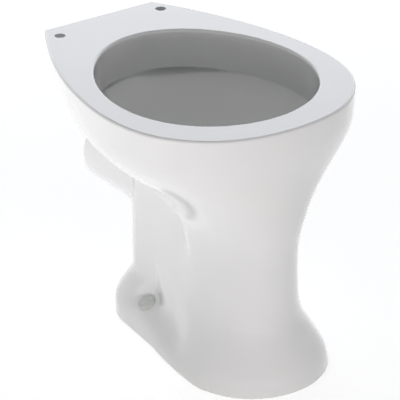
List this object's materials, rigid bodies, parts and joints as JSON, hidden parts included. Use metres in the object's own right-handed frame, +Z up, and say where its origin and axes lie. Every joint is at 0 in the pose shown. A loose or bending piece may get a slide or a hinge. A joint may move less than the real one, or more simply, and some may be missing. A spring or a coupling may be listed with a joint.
{
  "type": "floor-standing toilet pan",
  "caption": "Low floor-standing toilet pan in white glazed china with an egg-shaped rim opening, rear deck with seat holes, waisted pedestal, horizontal outlet and hidden side fixings.",
  "frame": {"origin": "on the floor, under the middle of the pan's length and width", "axes": "+Z up, +Y towards the rear deck and the outlet, -Y towards the front of the bowl, +X to the right seen from the front looking back"},
  "size_m": [0.3332, 0.4365, 0.355],
  "materials": {
    "china": "glossy white glaze",
    "seal_rubber": "matt black",
    "fixing_plastic": "moulded, satin",
    "fixing_steel": "bright",
    "cap_plastic": "semi-gloss pale grey"
  },
  "bodies": {
    "pan": {"rim_ring": "china", "bowl": "china", "pedestal": "china", "trapway": "china", "outlet_spigot": "china", "inlet_horn": "china", "inlet_seal": "seal_rubber", "left_screw_sleeve": "fixing_plastic", "right_screw_sleeve": "fixing_plastic", "left_washer": "fixing_steel", "right_washer": "fixing_steel", "left_fixing_screw": "fixing_steel", "right_fixing_screw": "fixing_steel", "left_floor_bracket": "fixing_plastic", "right_floor_bracket": "fixing_plastic"},
    "left_cap": {"left_screw_cap": "cap_plastic"},
    "right_cap": {"right_screw_cap": "cap_plastic"}
  },
  "joints": [
    {"name": "left_cap_pull", "type": "slide", "parent": "pan", "child": "left_cap", "axis": [-0.4695, 0, 0.8829], "range_m": [0, 0.02]},
    {"name": "right_cap_pull", "type": "slide", "parent": "pan", "child": "right_cap", "axis": [0.4695, 0, 0.8829], "range_m": [0, 0.02]}
  ]
}
